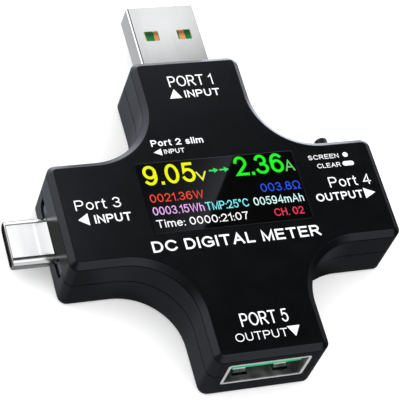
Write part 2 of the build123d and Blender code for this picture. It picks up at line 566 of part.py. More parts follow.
def type_c_socket_contacts():
    """Twelve strips on each side of the tongue."""
    half = C_TONGUE_THICKNESS / 2
    x = (C_SOCKET_BACK_X + 1.6, C_SOCKET_MOUTH_X - 1.3)
    contacts = []
    for middle_y in contact_rows_y():
        y = (middle_y - C_CONTACT_WIDTH / 2, middle_y + C_CONTACT_WIDTH / 2)
        contacts.append(block(x, y, (C_SOCKET_Z + half, C_SOCKET_Z + half + C_CONTACT_THICKNESS)))
        contacts.append(block(x, y, (C_SOCKET_Z - half - C_CONTACT_THICKNESS, C_SOCKET_Z - half)))
    return contacts


def type_c_socket_tongue():
    """Thin central tongue and the block that closes the back of the socket."""
    half_y, half_z = C_TONGUE_WIDTH / 2, C_TONGUE_THICKNESS / 2
    tongue = block((C_SOCKET_BACK_X, C_SOCKET_MOUTH_X - 1.0), (-half_y, half_y),
                   (C_SOCKET_Z - half_z, C_SOCKET_Z + half_z))
    fit = 2 * (C_SHEET + 0.03)
    back = SlotOverall(C_SOCKET_WIDTH - fit, C_SOCKET_HEIGHT - fit)
    return join([tongue, bar_x(back, (C_SOCKET_BACK_X, C_SOCKET_BACK_X + 1.6), 0, C_SOCKET_Z)])


def micro_b_socket_shell():
    length = (MICRO_BACK_Y, MICRO_MOUTH_Y)
    sleeve = bar_y(micro_profile(), length, MICRO_X, BOARD_TOP_Z)
    inner = (length[0] - 1, length[1] + 1)
    return sleeve - bar_y(micro_profile(-MICRO_SHEET), inner, MICRO_X, BOARD_TOP_Z)


def micro_b_socket_tongue():
    """Tongue under the broad wall and the block that closes the back of the socket."""
    top_z = BOARD_TOP_Z + MICRO_HEIGHT - MICRO_SHEET - 0.4
    tongue_y = (MICRO_BACK_Y, MICRO_MOUTH_Y - 0.5)
    tongue = block((MICRO_X - 1.95, MICRO_X + 1.95), tongue_y, (top_z - 0.6, top_z))
    back_y = (MICRO_BACK_Y, MICRO_BACK_Y + 0.9)
    back = bar_y(micro_profile(-MICRO_SHEET - 0.03), back_y, MICRO_X, BOARD_TOP_Z)
    return join([tongue, back])


def micro_b_socket_contacts():
    top_z = BOARD_TOP_Z + MICRO_HEIGHT - MICRO_SHEET - 1.0
    middle = (MICRO_CONTACT_COUNT - 1) / 2
    places = [MICRO_X + (i - middle) * MICRO_CONTACT_PITCH for i in range(MICRO_CONTACT_COUNT)]
    return [block((x - 0.15, x + 0.15), (MICRO_BACK_Y + 0.9, MICRO_MOUTH_Y - 1.0), (top_z - 0.1, top_z))
            for x in places]


def button_cap():
    """Round stem through the cover, with a flange inside that keeps it in."""
    stem_y = (BUTTON_FLANGE_Y[0], ARM_HALF_WIDTH + BUTTON_PROTRUSION)
    stem = rod_y(BUTTON_RADIUS, stem_y, BUTTON_X, BUTTON_Z)
    stem = fillet(stem.faces().sort_by(Axis.Y)[-1].edges(), BUTTON_END_ROUND)
    return join([stem, rod_y(BUTTON_RADIUS + 0.5, BUTTON_FLANGE_Y, BUTTON_X, BUTTON_Z),
                 rod_y(0.9, (BUTTON_STEM_BACK_Y, BUTTON_FLANGE_Y[0]), BUTTON_X, BUTTON_Z)])


def switch_plunger():
    head = rod_y(PLUNGER_HEAD_RADIUS, PLUNGER_HEAD_Y, BUTTON_X, BUTTON_Z)
    stem = rod_y(PLUNGER_STEM_RADIUS, (PLUNGER_HEAD_Y[1], BUTTON_STEM_BACK_Y), BUTTON_X, BUTTON_Z)
    return join([head, stem])


def switch_body():
    half = SWITCH_SIZE / 2
    body = block((BUTTON_X - half, BUTTON_X + half), (SWITCH_BACK_Y, SWITCH_FRONT_Y),
                 (BUTTON_Z - half, BUTTON_Z + half))
    body -= rod_y(SWITCH_CAVITY_RADIUS, SWITCH_CAVITY_Y, BUTTON_X, BUTTON_Z)
    return body - rod_y(0.95, (SWITCH_CAVITY_Y[0] + 0.1, SWITCH_FRONT_Y + 1), BUTTON_X, BUTTON_Z)


def switch_dome():
    """Snap disc at the bottom of the switch's cavity."""
    return rod_y(SWITCH_CAVITY_RADIUS - 0.15, (SWITCH_CAVITY_Y[0], SWITCH_CAVITY_Y[0] + 0.15),
                 BUTTON_X, BUTTON_Z)


def switch_bracket():
    """Stamped U round the switch, with two legs down to the board."""
    half = SWITCH_SIZE / 2
    sheet = 0.25
    z = (BUTTON_Z - half, BUTTON_Z + half - 0.1)
    back_x = (BUTTON_X - half - sheet, BUTTON_X + half + sheet)
    pieces = [block(back_x, (SWITCH_BACK_Y - sheet, SWITCH_BACK_Y), z)]
    for x in ((BUTTON_X - half - sheet, BUTTON_X - half), (BUTTON_X + half, BUTTON_X + half + sheet)):
        pieces.append(block(x, (SWITCH_BACK_Y - sheet, SWITCH_FRONT_Y), z))
        pieces.append(block(x, (SWITCH_BACK_Y, SWITCH_FRONT_Y), (BOARD_TOP_Z, z[1])))
    return join(pieces)


def switch_terminals():
    y = (5.6, 5.9)
    z = (BOARD_TOP_Z, BUTTON_Z - SWITCH_SIZE / 2)
    return [block((BUTTON_X + side - 0.25, BUTTON_X + side + 0.25), y, z) for side in (-1.3, 1.3)]


def on_board(width, depth, height, x, y):
    return block((x - width / 2, x + width / 2), (y - depth / 2, y + depth / 2),
                 (BOARD_TOP_Z, BOARD_TOP_Z + height))


def microcontroller():
    """Square package with gull-wing pins along its four sides."""
    size, pitch, x, y = 7.0, 0.8, -1.0, 2.0
    pieces = [on_board(size, size, 1.2, x, y)]
    reach = size / 2 + 0.5
    for i in range(8):
        along = (i - 3.5) * pitch
        for side in (-1, 1):
            pieces.append(on_board(1.4, 0.35, 0.2, x + side * reach, y + along))
            pieces.append(on_board(0.35, 1.4, 0.2, x + along, y + side * reach))
    return join(pieces)


def shunt_resistor():
    return on_board(6.3, 3.2, 0.6, 0.0, -6.4)


def voltage_regulator():
    return join([on_board(4.5, 2.5, 1.5, -9.6, 3.2), on_board(1.8, 4.2, 0.4, -9.6, 3.2)])


def power_inductor():
    coil = bar_z(RectangleRounded(5.0, 5.0, 0.8), (BOARD_TOP_Z, BOARD_TOP_Z + 2.5), 8.6, 3.2)
    return chamfer(coil.faces().sort_by(Axis.Z)[-1].edges(), 0.3)


def ceramic_capacitors():
    places = [(-9.6, -2.2), (-9.6, 0.0), (8.6, -1.6), (8.6, -3.6), (3.0, 13.0), (-2.0, 13.0)]
    return [on_board(2.0, 1.25, 0.9, x, y) for x, y in places]


def chip_resistors():
    places = [(-5.6, -3.6), (-3.6, -3.6), (3.6, -3.4), (5.6, -0.4), (5.6, -1.8), (5.2, -6.2), (-5.2, -6.2)]
    return [on_board(1.6, 0.8, 0.45, x, y) for x, y in places]


def write(name, shape):
    """One STEP file for each node; a list is a group of separate solids."""
    piece = Compound(children=[Part(s.wrapped) for s in shape]) if isinstance(shape, list) else shape
    piece.label = name
    export_step(piece, f"parts/{name}.step")


def main():
    os.makedirs("parts", exist_ok=True)
    gasket, panel, backlight = display_stack()
    nodes = {
        "front_cover": front_cover(),
        "rear_cover": rear_cover(),
        "cover_screws": cover_screws(),
        "display_window": display_window(),
        "display_gasket": gasket,
        "display_panel": panel,
        "display_backlight": backlight,
        "display_holder": display_holder(),
        "display_ribbon": display_ribbon(),
        "ribbon_connector": ribbon_connector(),
        "main_board": main_board(),
        "type_a_plug_shell": type_a_plug_shell(),
        "type_a_plug_insulator": type_a_plug_insulator(),
        "type_a_plug_contacts": type_a_plug_contacts(),
        "type_a_socket_shell": type_a_socket_shell(),
        "type_a_socket_tongue": type_a_socket_tongue(),
        "type_a_socket_contacts": type_a_socket_contacts(),
        "type_c_plug_shell": type_c_plug_shell(),
        "type_c_plug_insulator": type_c_plug_insulator(),
        "type_c_plug_contacts": type_c_plug_contacts(),
        "type_c_plug_collar": type_c_plug_collar(),
        "type_c_socket_shell": type_c_socket_shell(),
        "type_c_socket_tongue": type_c_socket_tongue(),
        "type_c_socket_contacts": type_c_socket_contacts(),
        "micro_b_socket_shell": micro_b_socket_shell(),
        "micro_b_socket_tongue": micro_b_socket_tongue(),
        "micro_b_socket_contacts": micro_b_socket_contacts(),
        "button_cap": button_cap(),
        "switch_plunger": switch_plunger(),
        "switch_body": switch_body(),
        "switch_dome": switch_dome(),
        "switch_bracket": switch_bracket(),
        "switch_terminals": switch_terminals(),
        "microcontroller": microcontroller(),
        "shunt_resistor": shunt_resistor(),
        "voltage_regulator": voltage_regulator(),
        "power_inductor": power_inductor(),
        "ceramic_capacitors": ceramic_capacitors(),
        "chip_resistors": chip_resistors(),
    }
    for name, shape in nodes.items():
        write(name, shape)


main()
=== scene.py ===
import json
import math

import bmesh
import bpy
from mathutils import Matrix, Vector


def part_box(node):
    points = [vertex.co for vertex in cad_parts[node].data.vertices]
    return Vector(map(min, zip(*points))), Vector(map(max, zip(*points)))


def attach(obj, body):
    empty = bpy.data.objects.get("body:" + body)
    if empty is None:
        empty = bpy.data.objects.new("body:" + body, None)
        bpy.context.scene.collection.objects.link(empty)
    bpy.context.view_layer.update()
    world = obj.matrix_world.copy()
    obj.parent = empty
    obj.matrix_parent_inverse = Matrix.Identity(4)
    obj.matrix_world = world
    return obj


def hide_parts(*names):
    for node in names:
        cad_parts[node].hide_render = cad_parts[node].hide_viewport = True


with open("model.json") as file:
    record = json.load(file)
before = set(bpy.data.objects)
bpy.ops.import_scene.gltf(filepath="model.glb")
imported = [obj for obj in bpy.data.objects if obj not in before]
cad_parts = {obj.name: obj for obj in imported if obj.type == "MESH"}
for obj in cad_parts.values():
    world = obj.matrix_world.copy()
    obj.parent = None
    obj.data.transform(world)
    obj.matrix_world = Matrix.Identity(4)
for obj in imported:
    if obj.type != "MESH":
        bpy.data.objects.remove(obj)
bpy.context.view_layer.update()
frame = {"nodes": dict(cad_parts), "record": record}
nodes = frame["nodes"]
scene = bpy.context.scene
MM = 0.001

# ---------------------------------------------------------------- places, in millimetres
FACE_Z = 11.7                   # front face of the housing
PRINT_HEIGHT = 0.015            # printed legends stand this much proud of the face
PRINT_SINK = 0.02               # and reach this far into it
GLASS_Z = 11.71                 # top of the display's glass
PANE_CORNER, PANE_EDGE = 0.4, 0.08                              # roundings of the glass
GLOW_TOP_Z = 11.728             # the lit characters end here, inside the CAD box
GLOW_SINK = 0.01                # and begin this far inside the glass
SOCKET_FRONT_Y = -27.7          # mouth of the type-A socket
SOCKET_HALF_WIDTH, SOCKET_HALF_HEIGHT, SOCKET_Z = 6.55, 2.85, 6.5      # its shell, and the shell's middle


# ---------------------------------------------------------------- materials
GRAIN_DEPTH, FINE_DEPTH = 0.00002, 0.00001                      # of the bump, in metres
NOISE_LOW, NOISE_HIGH = 0.3, 0.7                                # most of a noise lies between these
MIX_FIRST_COLOUR, MIX_SECOND_COLOUR, MIX_COLOUR = 6, 7, 2       # sockets of a colour Mix node
LIT_SHARE = 0.88              # most that a lit zone shows of the lit colour over the painted shade; grain adds the rest


class Nodes:
    """A new material with a Principled shader, and short calls to add nodes to it."""

    def __init__(self, name):
        self.material = bpy.data.materials.new(name)
        self.material.use_nodes = True
        self.tree = self.material.node_tree
        self.shader = self.tree.nodes["Principled BSDF"]
        self.coordinates = self.tree.nodes.new("ShaderNodeTexCoord").outputs["Object"]
        split = self.tree.nodes.new("ShaderNodeSeparateXYZ")
        self.link(self.coordinates, split.inputs["Vector"])
        self.x, self.y, self.z = split.outputs

    def link(self, source, target):
        self.tree.links.new(source, target)

    def set(self, **values):
        for key, value in values.items():
            name = key.replace("_", " ")
            socket = next(s for s in self.shader.inputs if s.name.lower() == name.lower())
            socket.default_value = value

    def noise(self, scale, detail=3.0, roughness=0.55, stretch=None):
        node = self.tree.nodes.new("ShaderNodeTexNoise")
        node.inputs["Scale"].default_value = scale
        node.inputs["Detail"].default_value = detail
        node.inputs["Roughness"].default_value = roughness
        source = self.coordinates
        if stretch:
            mapping = self.tree.nodes.new("ShaderNodeMapping")
            mapping.inputs["Scale"].default_value = stretch
            self.link(self.coordinates, mapping.inputs["Vector"])
            source = mapping.outputs["Vector"]
        self.link(source, node.inputs["Vector"])
        return node.outputs["Fac"]

    def ramp(self, value, low, high, out_low, out_high):
        node = self.tree.nodes.new("ShaderNodeMapRange")
        limits = {"From Min": low, "From Max": high, "To Min": out_low, "To Max": out_high}
        for name, number in limits.items():
            node.inputs[name].default_value = number
        self.link(value, node.inputs["Value"])
        return node.outputs["Result"]

    def blend(self, value, first, second):
        node = self.tree.nodes.new("ShaderNodeValToRGB")
        node.color_ramp.elements[0].color = (*first, 1)
        node.color_ramp.elements[1].color = (*second, 1)
        node.color_ramp.elements[0].position = NOISE_LOW
        node.color_ramp.elements[1].position = NOISE_HIGH
        self.link(value, node.inputs["Fac"])
        return node.outputs["Color"]

    def uneven(self, scale, detail, low, high, stretch=None):
        """Noise spread between two values."""
        return self.ramp(self.noise(scale, detail, stretch=stretch), NOISE_LOW, NOISE_HIGH, low, high)

    def bump(self, height, strength, distance):
        node = self.tree.nodes.new("ShaderNodeBump")
        node.inputs["Strength"].default_value = strength
        node.inputs["Distance"].default_value = distance
        self.link(height, node.inputs["Height"])
        self.link(node.outputs["Normal"], self.shader.inputs["Normal"])

    def math(self, operation, *values):
        """Math node on one or two values, or a chain of them on more."""
        node = self.tree.nodes.new("ShaderNodeMath")
        node.operation = operation
        for socket, value in zip(node.inputs, values[:2]):
            if isinstance(value, (int, float)):
                socket.default_value = value
            else:
                self.link(value, socket)
        result = node.outputs["Value"]
        return self.math(operation, result, *values[2:]) if len(values) > 2 else result

    def times(self, *values):
        return self.math("MULTIPLY", *values)

    def plus(self, *values):
        return self.math("ADD", *values)

    def rising(self, source, low, high, top=1.0):
        """From nought to the top value between two coordinates, in millimetres."""
        return self.ramp(source, low * MM, high * MM, 0.0, top)

    def falling(self, source, low, high, top=1.0):
        """From the top value to nought between two coordinates, in millimetres."""
        return self.ramp(source, low * MM, high * MM, top, 0.0)

    def inside(self, source, low, high, soft=0.3):
        """One between two coordinates in millimetres and nought outside them, with a soft edge."""
        return self.times(self.rising(source, low - soft, low), self.falling(source, high, high + soft))

    def colour(self, source):
        self.link(source, self.shader.inputs["Base Color"])

    def rough(self, source):
        self.link(source, self.shader.inputs["Roughness"])


def plastic(name, first, second, rough, grain=6000, bump=0.12):
    """Moulded plastic: slow colour drift, fine grain in the bump and a little unevenness in the gloss."""
    m = Nodes(name)
    m.colour(m.blend(m.noise(140, 4), first, second))
    m.rough(m.uneven(420, 4, *rough))
    m.bump(m.noise(grain, 2, 0.5), bump, GRAIN_DEPTH)
    return m.material


def metal(name, first, second, rough, stretch=(1, 1, 1), bump=0.06):
    """Plated or rolled sheet: drawn lines along one direction, with cloudy gloss."""
    m = Nodes(name)
    m.colour(m.blend(m.noise(260, 3), first, second))
    m.rough(m.uneven(900, 3, *rough, stretch))
    m.bump(m.noise(3500, 3, stretch=stretch), bump, FINE_DEPTH)
    m.set(Metallic=1.0)
    return m.material


def dimmed(colour, share):
    return tuple(share * c for c in colour)


def glow(name, colour, strength=1.0):
    """Lit characters of the display, with the faint unevenness of a backlight."""
    m = Nodes(name)
    m.link(m.blend(m.noise(900, 2), dimmed(colour, 0.82), colour), m.shader.inputs["Emission Color"])
    m.colour(m.blend(m.noise(900, 2), dimmed(colour, 0.02), dimmed(colour, 0.03)))
    m.set(Emission_Strength=strength, Roughness=0.4, Specular_IOR_Level=0.2)
    return m.material


def housing_plastic():
    """Satin black of the two covers, with a cloudy gloss over a fine grain."""
    m = Nodes("housing_plastic")
    m.colour(m.blend(m.noise(90, 5), (0.0011, 0.0012, 0.0014), (0.0018, 0.0019, 0.0022)))
    m.rough(m.ramp(m.noise(350, 5), 0.25, 0.75, 0.20, 0.27))
    m.bump(m.noise(7000, 3, 0.6), 0.14, GRAIN_DEPTH)
    return m.material


def shaded_inside(name, first, second, shade_colour, lit_zone, rough):
    """Metal or plastic in its lit colour where the given share is one, and in a dark, dull painted shade
    elsewhere.
    """
    m = Nodes(name)
    # share of the lit colour; painted shade fills the rest
    share = lit_zone(m)
    grain = m.uneven(500, 3, 0.0, 1 - LIT_SHARE)
    lit_colour = m.blend(m.noise(260, 3), first, second)
    mix = m.tree.nodes.new("ShaderNodeMix")
    mix.data_type = "RGBA"
    m.link(m.plus(m.times(share, LIT_SHARE), grain), mix.inputs["Factor"])
    # painted shade: a darker copy of the material
    painted_shade = m.blend(m.noise(700, 3), shade_colour, dimmed(shade_colour, 1.5))
    m.link(painted_shade, mix.inputs[MIX_FIRST_COLOUR])
    m.link(lit_colour, mix.inputs[MIX_SECOND_COLOUR])
    m.colour(mix.outputs[MIX_COLOUR])
    m.rough(m.uneven(900, 3, *rough))
    m.bump(m.noise(3500, 3), 0.05, FINE_DEPTH)
    return m, share


def socket_shell_metal():
    """Nickel with a painted highlight at the rim's outer edge and on the fingers' crests; brown painted
    shade elsewhere.
    """
    def lit_zone(m):
        across = m.math("ABSOLUTE", m.x)
        from_middle = m.math("ABSOLUTE", m.math("SUBTRACT", m.z, SOCKET_Z * MM))
        past_x = m.math("SUBTRACT", across, SOCKET_HALF_WIDTH * MM)
        past_z = m.math("SUBTRACT", from_middle, SOCKET_HALF_HEIGHT * MM)
        # painted highlight along the outer edge of the rim
        outer_edge = m.ramp(m.math("MAXIMUM", past_x, past_z), -0.20 * MM, -0.13 * MM, 0.08, 0.78)
        rim = m.times(m.falling(m.y, SOCKET_FRONT_Y + 0.02, SOCKET_FRONT_Y + 0.08), outer_edge)
        # painted highlight on the spring fingers' crests
        crest = m.times(m.inside(m.z, 4.52, 5.30, 0.03), m.inside(across, 2.0, 4.7))
        return m.math("MAXIMUM", rim, crest)
    m, share = shaded_inside("socket_nickel_mouth", (0.82, 0.82, 0.83), (0.90, 0.90, 0.91),
                             (0.007, 0.0055, 0.0045), lit_zone, (0.28, 0.4))
    # metallic only where the highlight is painted, none in the painted shade
    m.link(m.times(share, 0.5), m.shader.inputs["Metallic"])
    return m.material


def socket_tongue_plastic():
    """Green insulator, bright at its front, with painted shade in the depth of the socket."""
    def lit_zone(m):
        # lit at the front only; painted shade behind
        return m.falling(m.y, SOCKET_FRONT_Y + 1.15, SOCKET_FRONT_Y + 1.35)
    m, _ = shaded_inside("socket_insulator_green", (0.015, 0.48, 0.19), (0.02, 0.56, 0.23),
                         (0.002, 0.012, 0.006), lit_zone, (0.3, 0.4))
    return m.material


def lit_inside(name, first, second, glow_share, metallic):
    """Insulator or contacts, with a painted glow for the light that reaches them through the plug's
    windows.
    """
    m = Nodes(name)
    source = m.blend(m.noise(700, 3), first, second)
    m.colour(source)
    m.link(source, m.shader.inputs["Emission Color"])
    m.rough(m.uneven(900, 3, 0.3, 0.4))
    m.bump(m.noise(3000, 3), 0.06, FINE_DEPTH)
    # painted glow: emission under the plug's windows stands in for the light coming through them
    under_windows = m.inside(m.y, 33.7, 36.3, 0.8)
    m.link(m.times(under_windows, glow_share), m.shader.inputs["Emission Strength"])
    m.set(Metallic=metallic)
    return m.material


def display_glass():
    """Black glass with a high polish."""
    m = Nodes("display_glass_black")
    m.colour(m.blend(m.noise(300, 3), (0.0012, 0.0012, 0.0013), (0.0018, 0.0018, 0.0020)))
    m.rough(m.uneven(150, 4, 0.015, 0.035))
    m.bump(m.noise(60, 2), 0.01, FINE_DEPTH)
    return m.material


def white_print():
    """Pad-printed ink, slightly uneven in cover."""
    m = Nodes("white_ink")
    m.colour(m.blend(m.noise(1500, 4), (0.84, 0.85, 0.86), (0.94, 0.94, 0.95)))
    m.rough(m.uneven(800, 3, 0.45, 0.6))
    m.bump(m.noise(5000, 2), 0.1, FINE_DEPTH)
    return m.material


SLOTS = {
    "cover_plastic": housing_plastic(),
    "screw_steel": metal("screw_steel", (0.32, 0.32, 0.33), (0.42, 0.42, 0.43), (0.3, 0.45)),
    "window_glass": display_glass(),
    "foam": plastic("gasket_foam", (0.02, 0.02, 0.02), (0.035, 0.035, 0.035), (0.8, 0.95), 4000, 0.5),
    "panel_glass": plastic("panel_glass", (0.01, 0.01, 0.012), (0.02, 0.02, 0.024), (0.05, 0.1), 900, 0.01),
    "white_plastic": plastic("backlight_white", (0.78, 0.78, 0.76), (0.85, 0.85, 0.84), (0.4, 0.5)),
    "black_plastic": plastic("moulded_black", (0.010, 0.010, 0.011), (0.018, 0.018, 0.019), (0.4, 0.55)),
    "ribbon_film": plastic("amber_film", (0.42, 0.20, 0.05), (0.52, 0.27, 0.07), (0.25, 0.35), 900, 0.02),
    "ivory_plastic": plastic("moulded_ivory", (0.70, 0.66, 0.54), (0.78, 0.74, 0.62), (0.4, 0.5)),
    "board_laminate": plastic("board_laminate", (0.008, 0.07, 0.03), (0.012, 0.10, 0.045), (0.2, 0.3),
                              2500, 0.1),
    "plug_metal": metal("plug_nickel", (0.885, 0.84, 0.745), (0.915, 0.87, 0.775), (0.145, 0.16),
                        (1, 0.1, 1), 0.012),
    "collar_metal": metal("collar_nickel", (0.40, 0.41, 0.46), (0.48, 0.49, 0.54), (0.30, 0.40)),
    "socket_metal": metal("socket_nickel", (0.62, 0.62, 0.63), (0.72, 0.72, 0.73), (0.25, 0.38),
                          (1, 0.2, 1)),
    "contact_metal": metal("contact_copper", (0.86, 0.42, 0.20), (0.94, 0.52, 0.27), (0.22, 0.34)),
    "green_plastic": plastic("insulator_green", (0.004, 0.30, 0.11), (0.008, 0.38, 0.15), (0.25, 0.35),
                             3000, 0.05),
    "button_plastic": plastic("button_black", (0.008, 0.008, 0.009), (0.014, 0.014, 0.016), (0.16, 0.24),
                              3000, 0.04),
    "spring_steel": metal("spring_steel", (0.55, 0.55, 0.55), (0.65, 0.65, 0.65), (0.2, 0.3)),
    "chip_epoxy": plastic("chip_epoxy", (0.015, 0.015, 0.016), (0.03, 0.03, 0.031), (0.5, 0.65), 5000, 0.3),
    "ceramic_tan": plastic("ceramic_tan", (0.36, 0.26, 0.15), (0.46, 0.34, 0.21), (0.4, 0.5)),
}
# materials with painted light and shade inside the type-A socket and plug
SEEN_CLOSE = {
    "type_a_socket_shell": socket_shell_metal(),
    "type_a_socket_tongue": socket_tongue_plastic(),
    "type_a_plug_insulator": lit_inside("plug_insulator_green", (0.002, 0.20, 0.045), (0.004, 0.25, 0.06),
                                        glow_share=0.55, metallic=0.0),
    "type_a_plug_contacts": lit_inside("plug_contact_copper", (0.80, 0.34, 0.11), (0.90, 0.42, 0.15),
                                       glow_share=0.60, metallic=0.6),
}
WHITE_INK = white_print()
for subpart in frame["record"]["subparts"]:
    mesh = nodes[subpart["node"]].data
    mesh.materials.clear()
    mesh.materials.append(SEEN_CLOSE.get(subpart["node"], SLOTS[subpart["material_slot"]]))


# ---------------------------------------------------------------- pieces
def piece(name, mesh, material, body="housing"):
    mesh.materials.append(material)
    made = bpy.data.objects.new(name, mesh)
    scene.collection.objects.link(made)
    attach(made, body)
    return made


def prism(outline, z):
    """Mesh of a flat outline, in millimetres, run between two heights."""
    bm = bmesh.new()
    face = bm.faces.new([bm.verts.new((x * MM, y * MM, z[0] * MM)) for x, y in outline])
    raised = bmesh.ops.extrude_face_region(bm, geom=[face])["geom"]
    top = [v for v in raised if isinstance(v, bmesh.types.BMVert)]
    bmesh.ops.translate(bm, verts=top, vec=(0, 0, (z[1] - z[0]) * MM))
    bmesh.ops.recalc_face_normals(bm, faces=bm.faces)
    mesh = bpy.data.meshes.new("prism")
    bm.to_mesh(mesh)
    bm.free()
    return mesh


# ---------------------------------------------------------------- lettering
# Centre lines of each character: its width, then its strokes. A pair is a point; six numbers are an
# arc's centre, its two radii and the angles it runs between. Capitals are one unit high.
GLYPHS = {
    "0": (0.62, [[(0.31, 0.5, 0.31, 0.5, 0, 360)]]),
    "1": (0.26, [[(0.0, 0.76), (0.14, 0.85), (0.26, 1), (0.26, 0)]]),
    "2": (0.60, [[(0.30, 0.70, 0.29, 0.30, 170, -38), (0, 0), (0.60, 0)]]),
    "3": (0.60, [[(0.29, 0.75, 0.26, 0.25, 160, -90)], [(0.29, 0.26, 0.31, 0.26, 90, -160)]]),
    "4": (0.64, [[(0.48, 0), (0.48, 1), (0, 0.28), (0.64, 0.28)]]),
    "5": (0.60, [[(0.54, 1), (0.13, 1), (0.29, 0.335, 0.31, 0.335, 138, -155)]]),
    "6": (0.60, [[(0.30, 0.32, 0.30, 0.32, 0, 360)], [(0.34, 0.55, 0.34, 0.45, 48, 200)]]),
    "7": (0.60, [[(0, 1), (0.60, 1), (0.34, 0.55), (0.22, 0)]]),
    "8": (0.60, [[(0.30, 0.755, 0.25, 0.245, 0, 360)], [(0.30, 0.255, 0.30, 0.255, 0, 360)]]),
    "9": (0.60, [[(0.30, 0.68, 0.30, 0.32, 0, 360)], [(0.26, 0.45, 0.34, 0.45, 228, 380)]]),
    "A": (0.80, [[(0, 0), (0.40, 1), (0.80, 0)], [(0.16, 0.34), (0.64, 0.34)]]),
    "C": (0.80, [[(0.44, 0.5, 0.44, 0.5, 38, 322)]]),
    "D": (0.72, [[(0, 0), (0, 1)], [(0, 1), (0.30, 0.5, 0.42, 0.5, 90, -90), (0, 0)]]),
    "E": (0.62, [[(0.62, 1), (0, 1), (0, 0), (0.62, 0)], [(0, 0.53), (0.56, 0.53)]]),
    "G": (0.84, [[(0.44, 0.5, 0.44, 0.5, 40, 300), (0.84, 0.16), (0.84, 0.46), (0.50, 0.46)]]),
    "H": (0.66, [[(0, 0), (0, 1)], [(0.66, 0), (0.66, 1)], [(0, 0.53), (0.66, 0.53)]]),
    "I": (0.0, [[(0, 0), (0, 1)]]),
    "L": (0.54, [[(0, 1), (0, 0), (0.54, 0)]]),
    "M": (0.82, [[(0, 0), (0, 1), (0.41, 0.02), (0.82, 1), (0.82, 0)]]),
    "N": (0.68, [[(0, 0), (0, 1), (0.68, 0), (0.68, 1)]]),
    "O": (0.88, [[(0.44, 0.5, 0.44, 0.5, 0, 360)]]),
    "P": (0.66, [[(0, 0), (0, 1)], [(0, 1), (0.40, 0.73, 0.26, 0.27, 90, -90), (0, 0.46)]]),
    "R": (0.72, [[(0, 0), (0, 1)], [(0, 1), (0.40, 0.74, 0.26, 0.26, 90, -90), (0, 0.48)],
                 [(0.36, 0.46), (0.72, 0)]]),
    "S": (0.66, [[(0.33, 0.74, 0.30, 0.26, 28, 270), (0.33, 0.24, 0.33, 0.24, 90, -152)]]),
    "T": (0.70, [[(0, 1), (0.70, 1)], [(0.35, 1), (0.35, 0)]]),
    "U": (0.68, [[(0, 1), (0.34, 0.34, 0.34, 0.34, 180, 360), (0.68, 1)]]),
    "V": (0.76, [[(0, 1), (0.38, 0), (0.76, 1)]]),
    "W": (1.16, [[(0, 1), (0.29, 0), (0.58, 1), (0.87, 0), (1.16, 1)]]),
    "e": (0.56, [[(0.02, 0.37), (0.56, 0.37), (0.28, 0.35, 0.28, 0.35, 12, 318)]]),
    "h": (0.48, [[(0, 0), (0, 1)], [(0.24, 0.43, 0.24, 0.27, 180, 0), (0.48, 0)]]),
    "i": (0.0, [[(0, 0), (0, 0.70)], [(0, 0.96), (0, 1)]]),
    "l": (0.0, [[(0, 0), (0, 1)]]),
    "m": (0.88, [[(0, 0), (0, 0.70)], [(0.22, 0.45, 0.22, 0.25, 180, 0), (0.44, 0)],
                 [(0.66, 0.45, 0.22, 0.25, 180, 0), (0.88, 0)]]),
    "o": (0.56, [[(0.28, 0.35, 0.28, 0.35, 0, 360)]]),
    "r": (0.24, [[(0, 0), (0, 0.70)], [(0.24, 0.42, 0.24, 0.28, 180, 80)]]),
    "s": (0.48, [[(0.24, 0.52, 0.21, 0.18, 30, 270), (0.24, 0.17, 0.24, 0.17, 90, -150)]]),
    "t": (0.26, [[(0.11, 0.93), (0.27, 0.16, 0.16, 0.16, 180, 275)], [(0, 0.70), (0.26, 0.70)]]),
    "Ω": (0.82, [[(0, 0), (0.26, 0), (0.41, 0.57, 0.41, 0.43, 243, -63), (0.56, 0), (0.82, 0)]]),
    "°": (0.24, [[(0.12, 0.86, 0.12, 0.14, 0, 360)]]),
    ".": (0.0, [[(0, -0.01), (0, 0.01)]]),
    ":": (0.0, [[(0, -0.01), (0, 0.01)], [(0, 0.56), (0, 0.58)]]),
    " ": (0.12, []),
}
LETTER_GAP = 0.18               # clear space between two characters, in their height
STROKE_STEP = 0.0004            # strokes that cross end this much apart in height, in millimetres
STROKE_LEVELS = 5               # and take this many heights in turn
ARC_CHORD = 15                  # degrees of an arc that one chord spans
MITRE_LIMIT = 0.45              # bends sharper than this cosine are cut short
TOUCHING = 1e-6                 # points nearer than this are one, in millimetres


def stroke_points(stroke):
    """Points along one stroke; arcs are cut into short chords."""
    points = []
    for entry in stroke:
        if len(entry) == 2:
            points.append(entry)
            continue
        cx, cy, rx, ry, start, end = entry
        count = max(4, int(abs(end - start) / ARC_CHORD))
        for i in range(count + 1):
            angle = math.radians(start + (end - start) * i / count)
            points.append((cx + rx * math.cos(angle), cy + ry * math.sin(angle)))
    return points


